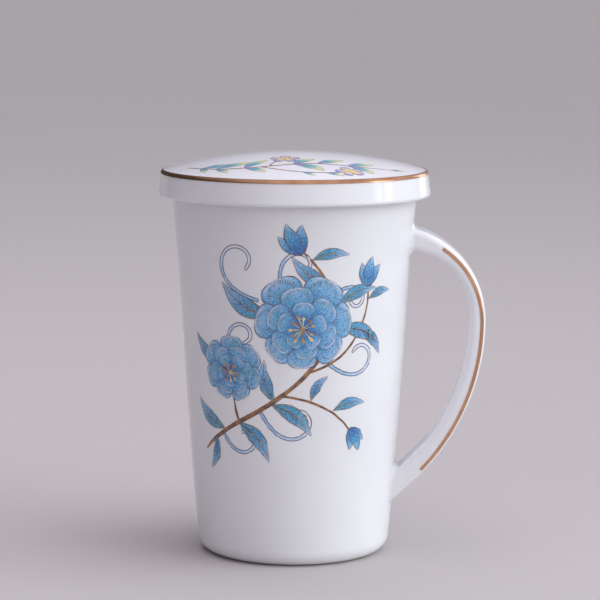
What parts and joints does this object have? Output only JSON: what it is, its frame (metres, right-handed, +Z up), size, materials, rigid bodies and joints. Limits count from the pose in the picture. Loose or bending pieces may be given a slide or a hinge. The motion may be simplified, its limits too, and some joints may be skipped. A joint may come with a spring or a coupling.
{
  "type": "lidded tea cup",
  "caption": "Tall tapered china tea cup with a bow handle, a loose domed lid whose skirt goes over the rim, and gilded lines on the lid and the handle.",
  "frame": {"origin": "centre of the foot ring, on the surface that the cup stands on", "axes": "+Z up along the cup's axis, +X towards the handle, -Y towards the decorated front"},
  "size_m": [0.1087, 0.09, 0.1333],
  "materials": {
    "white_china": "glossy clear glaze over white bone china",
    "gilding": "burnished rose gold lustre fired on the glaze"
  },
  "bodies": {
    "cup": {"cup_body": "white_china", "handle": "white_china", "handle_gold_line_front": "gilding", "handle_gold_line_back": "gilding"},
    "lid": {"lid": "white_china", "lid_gold_band": "gilding"}
  },
  "joints": [
    {"name": "lid_lift", "type": "slide", "parent": "cup", "child": "lid", "axis": [0, 0, 1], "range_m": [0, 0.1]}
  ]
}
